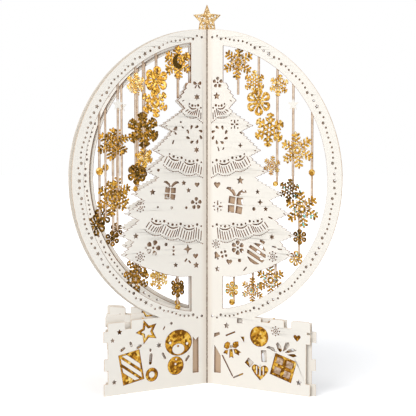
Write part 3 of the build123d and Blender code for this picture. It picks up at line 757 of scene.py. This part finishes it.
def flake(kind, radius, start):
    """Outline and holes of one snowflake."""
    def six(loop, out, between=0.0):
        """The loop six times round the middle, each turned with its arm."""
        turns = [start + between + 60 * k for k in range(6)]
        return [moved(moved(loop, 0, 0, 1, turn), *polar(out, turn)) for turn in turns]

    drop = teardrop_hole(0.20, 0.13, 0)
    pin = round_hole(0.045, 6)
    if kind == "fern":
        loops = [arms(FERN, 0.19, start=start, stout=1.0, short=0.56), star_hole(0.11, 6, 0.5, start),
                 *six(pin, 0.26), *six(pin, 0.42), *six(pin, 0.62)]
    elif kind == "scallop":
        loops = [arms(SCALLOP, 0.48, start=start), star_hole(0.24, 6, 0.5, start), *six(drop, 0.34),
                 *six(pin, 0.40, 30), *six(slit_hole(0.14, 0.05, 90), 0.74), *six(pin, 0.90)]
    elif kind == "dotted":
        loops = [arms(DOTTED, 0.36, start=start), star_hole(0.20, 6, 0.45, start),
                 *six(round_hole(0.06, 8), 0.57), *six(pin, 0.36), *six(pin, 0.85)]
    elif kind == "crystal":
        loops = [arms(CRYSTAL, 0.38, start=start), round_hole(0.08, 8), *six(drop, 0.14),
                 *six(slit_hole(0.13, 0.06, 90), 0.56)]
    elif kind == "petals":
        loops = [arms(LOBES, 0.40, start=start), round_hole(0.09, 8),
                 *six(teardrop_hole(0.40, 0.20, 0), 0.40), *six(pin, 0.28, 30)]
    else:
        loops = [arms(LOBES, 0.38, start=start), *six(pin, 0.30), *six(round_hole(0.06, 8), 0.68)]
    return [moved(loop, 0, 0, radius) for loop in loops]


# Snowflakes as (u, z, radius, kind, tone) and balls as (u, z, radius), in shares of the ring's radius
# from its centre
# The tone paints light and shade on each flake: low for flakes in shadow, higher for lit ones
LEFT_FLAKES = (
    (0.210, 0.776, 0.112, "fern", 0.42), (0.375, 0.658, 0.087, "petals", 0.50),
    (0.526, 0.629, 0.073, "fern", 0.72), (0.386, 0.508, 0.100, "dotted", 0.50),
    (0.473, 0.324, 0.118, "scallop", 0.16), (0.700, 0.232, 0.112, "fern", 0.34),
    (0.470, 0.140, 0.068, "crystal", 0.58), (0.520, 0.036, 0.072, "small", 0.18),
    (0.696, -0.121, 0.124, "fern", 0.40), (0.815, -0.290, 0.071, "petals", 0.12),
    (0.699, -0.383, 0.052, "small", 0.12), (0.530, -0.661, 0.099, "dotted", 0.26),
    (0.361, -0.671, 0.074, "crystal", 0.66), (0.217, -0.754, 0.054, "small", 0.20),
)
LEFT_BALLS = ((0.217, -0.872, 0.020), (0.786, 0.058, 0.026), (0.530, -0.062, 0.018))
RIGHT_FLAKES = (
    (0.247, 0.775, 0.120, "fern", 0.46), (0.371, 0.640, 0.080, "crystal", 0.60),
    (0.401, 0.510, 0.093, "petals", 0.58), (0.551, 0.615, 0.073, "crystal", 0.66),
    (0.480, 0.325, 0.115, "crystal", 0.58), (0.685, 0.193, 0.124, "fern", 0.62),
    (0.501, 0.090, 0.068, "fern", 0.62), (0.629, -0.070, 0.079, "crystal", 0.14),
    (0.720, -0.190, 0.128, "fern", 0.46), (0.706, -0.372, 0.052, "small", 0.20),
    (0.678, -0.515, 0.052, "petals", 0.56), (0.360, -0.745, 0.090, "fern", 0.50),
    (0.495, -0.672, 0.113, "fern", 0.40), (0.203, -0.752, 0.054, "small", 0.60),
)
RIGHT_BALLS = ((0.526, -0.030, 0.018), (0.203, -0.840, 0.022), (0.788, 0.050, 0.022))
# Strips that hang from the ring as (u, lower end), and links between pieces as (u, lower end, upper end)
LEFT_STRIPS = ((0.210, 0.540), (0.375, 0.500), (0.526, -0.070), (0.653, -0.060), (0.786, -0.300),
               (0.470, 0.010))
RIGHT_STRIPS = ((0.247, 0.560), (0.401, 0.480), (0.538, -0.040), (0.653, -0.070), (0.788, -0.160))
LEFT_LINKS = ((0.690, -0.390, 0.200), (0.217, -0.880, -0.600), (0.361, -0.700, -0.560),
              (0.530, -0.690, -0.500))
RIGHT_LINKS = ((0.700, -0.530, -0.150), (0.217, -0.850, -0.600), (0.361, -0.770, -0.560),
               (0.530, -0.690, -0.500))


# The moon's tone, the darkest, is painted shade
MOON_PLACE, MOON_DEPTHS, MOON_TONE, BALL_TONE = (18.2, 197.7), (-0.68, -0.61), -0.25, 0.6


def hung_flakes(flakes, balls, sheet, side):
    """The snowflakes and balls of one leaf, neighbours on two depths so that they never share a face."""
    dice = np.random.default_rng(7 if side > 0 else 11)
    pieces = Pieces()
    # Each flake's tone carries its painted light and shade
    for k, (u, z, radius, kind, tone) in enumerate(flakes):
        depth = -STRIP_THICKNESS - FLAKE_THICKNESS * (k % 2)
        shape = flake(kind, radius * RING, 90 + dice.uniform(-8, 8))
        loops = [moved(loop, u * RING, CENTRE + z * RING) for loop in shape]
        pieces.plate(loops, depth - FLAKE_THICKNESS, depth, sheet, side, tone, rim=FLAKE_RIM, twice=True)
    if sheet == "left" and side > 0:
        # A crescent moon in front of the snowflakes, in the darkest gold tone as painted shade
        moon = [polar(4.4, a) for a in np.linspace(20, 290, 22)]
        moon += [(1.3 + 3.0 * math.cos(a), 1.1 + 3.0 * math.sin(a)) for a in np.linspace(4.9, 0.45, 18)]
        pieces.plate([moved(mirrored(moon), *MOON_PLACE)], *MOON_DEPTHS, sheet, side, MOON_TONE)
    for u, z, radius in balls:
        ball = moved(round_hole(radius * RING, 14), u * RING, CENTRE + z * RING)
        pieces.plate([ball], -STRIP_THICKNESS - FLAKE_THICKNESS, -STRIP_THICKNESS, sheet, side, BALL_TONE)
    return pieces


def hung_strips(hanging, links, band, sheet, side):
    """Straight narrow plates: the hanging ones run up to the ring's inner circle and lap it a little."""
    pieces = Pieces()
    inner = RING - band
    spans = [(u, low, math.sqrt(inner**2 - (u * RING) ** 2) / RING + STRIP_LAP / RING) for u, low in hanging]
    for u, low, high in (*spans, *links):
        middle, height = (low + high) / 2, (high - low) * RING
        strip = moved(box_hole(STRIP_WIDTH, height), u * RING, CENTRE + middle * RING)
        pieces.plate([strip], -STRIP_THICKNESS, 0.0, sheet, side, rim=STRIP_RIM, twice=True)
    return pieces


def star_piece():
    """The two halves of the folded star over a stem, each a plate with round and long openings."""
    pieces = Pieces()
    for side in (-1, 1):
        tips = [(0.0, STAR_RADIUS), (2.2, 3.4), (9.6, 2.3), (4.9, -1.6), (5.9, -7.0), (3.4, -5.7)]
        tips += [(3.4, -STEM_LENGTH), (0.0, -STEM_LENGTH)]
        dots = ((1.6, 0.6), (2.6, -2.2), (3.9, -4.6), (5.6, 1.6), (1.1, 4.2))
        holes = [moved(round_hole(0.62, 10), *place) for place in dots]
        slits = (((3.6, 1.0), 70), ((1.3, -4.2), 8), ((3.4, -0.6), -20))
        holes += [moved(slit_hole(1.9, 0.7, tilt), *place) for place, tilt in slits]
        body = Panel([(u, STAR_MIDDLE + z) for u, z in tips])
        body.cut(holes, 0, STAR_MIDDLE, gap=0.3)
        pieces.plate(body.loops, -STAR_THICKNESS, 0.0, "front", side)
    for points in pieces.points:
        points[:, 1] += STAR_SETBACK
    return pieces


# Materials

class Shader:
    """A material's nodes, made and linked in one call each."""

    def __init__(self, name):
        self.material = bpy.data.materials.new(name)
        self.material.use_nodes = True
        self.tree = self.material.node_tree
        self.tree.nodes.clear()
        self.surface = self.node("BsdfPrincipled")
        out = self.node("OutputMaterial")
        self.tree.links.new(self.surface.outputs[0], out.inputs[0])
        self.place = self.node("TexCoord").outputs["Object"]

    def node(self, kind, props=None, **inputs):
        """A node with its properties set and its sockets fed. A socket is named by its words, or as i0,
        i1 by its number."""
        node = self.tree.nodes.new("ShaderNode" + kind)
        for key, value in (props or {}).items():
            setattr(node, key, value)
        for key, value in inputs.items():
            key = int(key[1:]) if key[0] == "i" and key[1:].isdigit() else key.replace("_", " ")
            self.feed(node.inputs[key], value)
        return node

    def feed(self, socket, value):
        """Link another node's output, or set the socket's own value."""
        if isinstance(value, bpy.types.NodeSocket):
            self.tree.links.new(value, socket)
        else:
            socket.default_value = value

    def set(self, **values):
        """Feed sockets of the surface."""
        for key, value in values.items():
            self.feed(self.surface.inputs[key.replace("_", " ")], value)

    def noise(self, scale, detail=3.0, rough=0.55):
        """Noise on the piece's own place."""
        return self.node("TexNoise", Vector=self.place, Scale=scale, Detail=detail,
                         Roughness=rough).outputs[0]

    def ramp(self, value, stops):
        """The colour at a value between stops of (place, colour)."""
        node = self.node("ValToRGB", Fac=value)
        ramp = node.color_ramp
        for k, (at, colour) in enumerate(stops):
            stop = ramp.elements[k] if k < 2 else ramp.elements.new(at)
            stop.position, stop.color = at, (*colour, 1)
        return node.outputs[0]

    def mix(self, share, a, b):
        """The colour a, and b by the share."""
        node = self.node("Mix", {"data_type": "RGBA"})
        for socket, value in ((node.inputs[0], share), (node.inputs[6], a), (node.inputs[7], b)):
            self.feed(socket, (*value, 1) if isinstance(value, tuple) else value)
        return node.outputs[2]

    def maths(self, how, a, b=0.0, clamp=False):
        """One step of arithmetic on two values."""
        return self.node("Math", {"operation": how, "use_clamp": clamp}, i0=a, i1=b).outputs[0]

    def range(self, value, low, high, to_low=0.0, to_high=1.0):
        """A value carried from one range to another and held to it."""
        node = self.node("MapRange", Value=value)
        for key, number in (("From Min", low), ("From Max", high), ("To Min", to_low), ("To Max", to_high)):
            node.inputs[key].default_value = number
        return node.outputs[0]

    def bump(self, height, distance, strength=1.0):
        """Relief from a height, without moving the surface."""
        self.set(Normal=self.node("Bump", Height=height, Distance=distance, Strength=strength).outputs[0])


def card_surface(s, colour, corner=None):
    """Matt card with a fine tooth. Given a corner, the crease along that fold is burnt brown, with painted
    tan shade beside it."""
    tooth, cloud = s.noise(2600, 4), s.noise(30, 2)
    colour = s.mix(s.range(cloud, 0.3, 0.7, 0.04, 0.0), colour, (0.70, 0.60, 0.48))
    if corner:
        apart = s.node("VectorMath", {"operation": "MULTIPLY"}, i0=s.place, i1=(1, 1, 0)).outputs[0]
        away = s.node("VectorMath", {"operation": "DISTANCE"}, i0=apart,
                      i1=(corner[0] * MM, corner[1] * MM, 0)).outputs["Value"]
        wander = s.maths("ADD", away, s.range(s.noise(700, 2), 0.3, 0.7, -0.0001, 0.0001))
        # Painted shade: a soft tan band on both sides of the crease
        colour = s.mix(s.range(away, 0.0004, 0.0045, 0.30, 0.0), colour, (0.62, 0.45, 0.30))
        colour = s.mix(s.range(wander, 0.00024, 0.00055, 0.95, 0.0), colour, (0.11, 0.058, 0.030))
    s.set(Base_Color=colour, Roughness=0.85)
    s.surface.inputs["Specular IOR Level"].default_value = 0.25
    s.bump(tooth, 0.00002, 0.5)
    return s.material


def card_material(name, corner=None):
    """White card, perhaps with its crease at the corner burnt brown and painted tan shade beside it."""
    return card_surface(Shader(name), WHITE, corner)


def gap_shade_material(name):
    """The backs of the sheets, with painted shade of the narrow gaps between them: tan close to the spine and
    behind the tree, paler further out, and tan low by the spine behind the windows."""
    s = Shader(name)
    flat = s.node("VectorMath", {"operation": "MULTIPLY"}, i0=s.place, i1=(1, 1, 0)).outputs[0]
    away = s.node("VectorMath", {"operation": "DISTANCE"}, i0=flat,
                  i1=(SPINE[0] * MM, SPINE[1] * MM, 0)).outputs["Value"]
    height = s.node("SeparateXYZ", Vector=s.place).outputs[2]
    outer = s.maths("MAXIMUM", s.range(away, 0.044, 0.054), s.range(height, 0.066, 0.074, 1.0, 0.0))
    outer = s.maths("MAXIMUM", outer, s.range(height, 0.186, 0.190))
    # Painted shade: tan where the sheets close in, pale elsewhere
    colour = s.mix(outer, (0.62, 0.44, 0.29), (0.88, 0.83, 0.75))
    # Painted shade seen through the windows low by the spine
    window = s.maths("MULTIPLY", s.range(away, 0.014, 0.018, 1.0, 0.0),
                     s.range(height, 0.034, 0.038, 1.0, 0.0))
    colour = s.mix(window, colour, (0.62, 0.45, 0.31))
    return card_surface(s, colour)


def mottled_material(name, dark, light):
    """Matt colour mottled between a dark and a light stop, with a fine bump: the cutter's burnt edges, and
    panes and walls painted with shade and light.
    """
    s = Shader(name)
    s.set(Base_Color=s.ramp(s.noise(420, 3), ((0.35, dark), (0.68, light))), Roughness=0.8)
    s.bump(s.noise(4200, 2), 0.00002, 0.5)
    return s.material


def gold_material(name, rough, stops, spread=0.5, relief=0.00004, cell=1150, level=None, spark=0.0):
    """Gold foil card: the colour wanders between the stops with the piece's tone, broken into small facets:
    painted reflections of bright and dark surroundings. With a spark, that share of the facets flash
    blue-green, low on the right, a painted glint."""
    s = Shader(name)
    tone = s.node("Attribute", {"attribute_name": "tone"}).outputs["Fac"] if level is None else level
    patch = s.noise(cell * 0.45, 2, 0.5)
    facets = s.node("SeparateColor", i0=s.node("TexVoronoi", Vector=s.place, Scale=cell).outputs["Color"])
    value = s.maths("MULTIPLY", s.maths("SUBTRACT", patch, 0.5), 1.6 * spread)
    value = s.maths("ADD", value,
                    s.maths("MULTIPLY", s.maths("SUBTRACT", facets.outputs[0], 0.5), 1.3 * spread))
    colour = s.ramp(s.maths("ADD", value, tone, clamp=True), stops)
    # Painted glint: a share of the facets low on the right turned blue-green
    if spark:
        flash = s.maths("GREATER_THAN", facets.outputs[2], 1.0 - spark)
        x, y, z = s.node("SeparateXYZ", Vector=s.place).outputs[:3]
        low_right = s.maths("MULTIPLY", s.maths("GREATER_THAN", x, 0.0), s.maths("LESS_THAN", z, 0.125))
        flash = s.maths("MULTIPLY", flash, low_right)
        colour = s.mix(flash, colour, (0.25, 0.85, 0.80))
    s.set(Base_Color=colour, Metallic=1.0, Roughness=s.range(patch, 0.3, 0.7, rough * 0.8, rough * 1.3))
    s.bump(s.maths("ADD", patch, facets.outputs[1]), relief)
    return s.material


def glitter_material(name):
    """Gold glitter: small flat grains, each tilted and toned its own way."""
    s = Shader(name)
    cells = s.node("TexVoronoi", Vector=s.place, Scale=2100)
    part = s.node("SeparateColor", i0=cells.outputs["Color"])
    colour = s.ramp(part.outputs[0], GLITTER_STOPS)
    s.set(Base_Color=colour, Metallic=0.8, Roughness=0.38)
    s.bump(part.outputs[1], 0.00025, 0.8)
    return s.material


# The gold and foil stops run from near black to pale gold: the facets paint dark and bright reflections
GOLD_STOPS = ((0.0, (0.05, 0.028, 0.006)), (0.25, (0.20, 0.11, 0.018)), (0.5, (0.56, 0.26, 0.035)),
              (0.75, (0.90, 0.54, 0.09)), (1.0, (1.0, 0.84, 0.42)))
GLITTER_STOPS = ((0.0, (0.20, 0.10, 0.03)), (0.45, (0.55, 0.34, 0.12)), (0.8, (0.85, 0.62, 0.30)),
                 (1.0, (1.0, 0.92, 0.72)))
FOIL_STOPS = ((0.0, (0.22, 0.09, 0.012)), (0.35, (0.62, 0.28, 0.03)), (0.7, (0.95, 0.58, 0.08)),
              (1.0, (1.0, 0.84, 0.36)))
WHITE = (0.905, 0.870, 0.800)


def fold_corner(sheet):
    """Where the two front faces of a sheet meet at its fold, seen from above, in the frame."""
    turn, round_spine, fold = SHEETS[sheet]
    out = -CARD / cos(turn)
    a = math.radians(round_spine)
    return (SPINE[0] + fold[0] - out * math.sin(a), SPINE[1] + fold[1] + out * math.cos(a))


# The sheets' backs carry painted shade of the gaps between the sheets
gap_shade = gap_shade_material("gap_shade_card")
cards = {name: card_material("card_" + name, fold_corner(name)) for name in SHEETS}
# The holes' walls: the cutter's burn, deepened to paint the shade inside the small holes
burnt_shaded_wall = mottled_material("burnt_shaded_edge", (0.075, 0.018, 0.003), (0.33, 0.11, 0.022))
# The panes of the paned gift: painted shade of the hollow seen through its windows
shaded_pane = mottled_material("shaded_pane", (0.28, 0.15, 0.07), (0.74, 0.58, 0.44))
# The outline's cut walls, paler than the holes' walls: painted light
pale_edge = mottled_material("pale_edge", (0.62, 0.45, 0.31), (0.84, 0.72, 0.58))
star_card = card_material("star_card")
strip_card = mottled_material("strip_card", (0.66, 0.50, 0.36), (0.84, 0.72, 0.58))
strip_edge = mottled_material("strip_edge", (0.24, 0.11, 0.045), (0.52, 0.31, 0.16))
gold = gold_material("gold_mirror_card", 0.26, GOLD_STOPS, spark=0.03)
gold_edge = mottled_material("gold_edge", (0.11, 0.05, 0.008), (0.50, 0.19, 0.02))
foil = gold_material("gold_foil", 0.34, FOIL_STOPS, 0.75, 0.00003, 640, 0.31)
glitter = glitter_material("gold_glitter")

# The pieces
left_loops = pressed("left", COMMON_PILE)
right_loops = pressed("right", COMMON_PILE)
inner_loops = pressed("right", INNER_PILE, INNER_SLIM)
outer_loops = pressed("left", OUTER_PILE, OUTER_SLIM)
SHEET_LOOPS = {"front": (left_loops, right_loops), "left": (left_loops, inner_loops),
               "back": (outer_loops, right_loops)}
for sheet, (left, right) in SHEET_LOOPS.items():
    both = Pieces()
    finishes = (cards[sheet], burnt_shaded_wall, gap_shade, shaded_pane, pale_edge)
    shaded_back, pane_front, pale_outline = (finishes.index(finish)
                                             for finish in (gap_shade, shaded_pane, pale_edge))
    for loops, side in ((left, -1), (right, 1)):
        # The back caps take the painted gap shade
        both.plate(loops, 0.0, CARD, sheet, side, mitre=True, rim=SHEET_RIM, hidden=shaded_back,
                   outer=pale_outline)
    for art, side in ((LEFT_ISLANDS, -1), (RIGHT_ISLANDS, 1)):
        for loops in art:
            both.plate(loops, 0.0, CARD, sheet, side, rim=PANE_RIM)
    # Panes set back in the paned gift, their fronts painted with the shade seen through its windows
    for pane in GIFT_PANES:
        both.plate([pane], 0.0, CARD - PANE_SETBACK, sheet, 1, rim=PANE_RIM, front=pane_front)
    both.made(sheet + "_sheet_cut", finishes, "white_card", sheet + "_sheet")

LEFT_HUNG = (LEFT_STRIPS, LEFT_LINKS, LEFT_FLAKES, LEFT_BALLS)
RIGHT_HUNG = (RIGHT_STRIPS, RIGHT_LINKS, RIGHT_FLAKES, RIGHT_BALLS)
for name, (hanging, links, flakes, balls), band, sheet, side in (
    ("left", LEFT_HUNG, BAND["right"], "left", 1),
    ("rear", LEFT_HUNG, BAND["left"], "left", -1),
    ("right", RIGHT_HUNG, BAND["left"], "back", -1),
):
    strips = hung_strips(hanging, links, band, sheet, side)
    strips.made(name + "_strips_cut", (strip_card, strip_edge), "white_strip", name + "_strips")
    snow = hung_flakes(flakes, balls, sheet, side)
    snow.made(name + "_flakes_cut", (gold, gold_edge), "gold_mirror_card", name + "_snowflakes")

star_piece().made("top_star_cut", (glitter, gold_edge), "gold_glitter", "top_star")

for sheet in SHEETS:
    backing = Pieces()
    for patches, side, pile in zip((LEFT_FOILS, RIGHT_FOILS), (-1, 1), PILE_SIZES[sheet]):
        for loops, u, z, layer in patches:
            loops = [moved(loop, u, z) * (np.array(pile) / np.array(COMMON_PILE)) for loop in loops]
            back = FOIL_THICKNESS * layer
            backing.plate(loops, -FOIL_THICKNESS - back, -FOIL_GAP - back, sheet, side)
    backing.made(sheet + "_foils_cut", (foil, gold_edge), "gold_foil", sheet + "_gold_foils")

# The small white stars keep their own mesh
star_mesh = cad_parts["white_stars"].data
star_mesh.materials.clear()
star_mesh.materials.append(star_card)

# Light, floor and camera
world = bpy.data.worlds.new("studio")
bpy.context.scene.world = world
world.use_nodes = True
world_nodes, world_links = world.node_tree.nodes, world.node_tree.links
back = world_nodes["Background"]
path = world_nodes.new("ShaderNodeLightPath")
seen = path.outputs["Is Camera Ray"]
for other in ("Is Glossy Ray", "Is Transmission Ray"):
    brighter = world_nodes.new("ShaderNodeMath")
    brighter.operation = "MAXIMUM"
    world_links.new(seen, brighter.inputs[0])
    world_links.new(path.outputs[other], brighter.inputs[1])
    seen = brighter.outputs[0]
grey = world_nodes.new("ShaderNodeMix")
grey.data_type = "RGBA"
grey.inputs[6].default_value = (0.50, 0.51, 0.53, 1)
grey.inputs[7].default_value = (1, 1, 1, 1)
world_links.new(seen, grey.inputs[0])
world_links.new(grey.outputs[2], back.inputs["Color"])
back.inputs["Strength"].default_value = 1.0


def area_light(name, place, target, size, power, colour):
    """A round lamp at its place that looks at the target."""
    data = bpy.data.lights.new(name, "AREA")
    data.shape, data.size, data.energy, data.color = "DISK", size, power, colour
    lamp = bpy.data.objects.new(name, data)
    lamp.location = place
    lamp.rotation_euler = (Vector(target) - Vector(place)).to_track_quat("-Z", "Y").to_euler()
    bpy.context.scene.collection.objects.link(lamp)


CARD_MIDDLE = (0, 0, 0.1)
area_light("key", (-0.55, -0.75, 0.75), CARD_MIDDLE, 0.7, 7.0, (1.0, 0.985, 0.965))
area_light("fill", (0.7, -0.5, 0.5), CARD_MIDDLE, 0.8, 2.0, (0.96, 0.98, 1.0))

floor_mesh = bpy.data.meshes.new("floor")
FLOOR_REACH = 3
corners = [(x * FLOOR_REACH, y * FLOOR_REACH, 0) for x, y in ((-1, -1), (1, -1), (1, 1), (-1, 1))]
floor_mesh.from_pydata(corners, [], [(0, 1, 2, 3)])
floor = bpy.data.objects.new("floor", floor_mesh)
bpy.context.scene.collection.objects.link(floor)
paper = Shader("floor_paper")
direct = paper.node("LightPath").outputs["Is Camera Ray"]
level = paper.node("VectorMath", {"operation": "LENGTH"}, i0=paper.place).outputs["Value"]
paper.set(Roughness=0.9, Base_Color=paper.mix(direct, (0.80, 0.80, 0.80), (1.0, 1.0, 1.0)))
glow = paper.maths("MULTIPLY", direct, paper.range(level, 0.07, 0.42, 0.20, 0.78))
paper.set(Emission_Color=(1, 1, 1, 1), Emission_Strength=glow)
floor_mesh.materials.append(paper.material)

# The camera as measured: its focal length and picture width in pixels, its place from the spine and its
# downward pitch
FOCAL_LENGTH, PICTURE_WIDTH, SENSOR = 1102.2, 416.0, 36.0
CAMERA_FROM_SPINE, CAMERA_HEIGHT, PITCH = (0.61, -675.66), 157.3, 4.103
camera_data = bpy.data.cameras.new("camera")
camera_data.sensor_width, camera_data.lens = SENSOR, FOCAL_LENGTH / PICTURE_WIDTH * SENSOR
camera_data.clip_start, camera_data.clip_end = 0.01, 10.0
camera = bpy.data.objects.new("camera", camera_data)
camera_x, camera_y = (spine + away for spine, away in zip(SPINE, CAMERA_FROM_SPINE))
camera.location = (camera_x * MM, camera_y * MM, CAMERA_HEIGHT * MM)
camera.rotation_euler = (math.radians(90.0 - PITCH), 0.0, 0.0)
bpy.context.scene.collection.objects.link(camera)
bpy.context.scene.camera = camera
bpy.context.scene.view_settings.view_transform = "Standard"
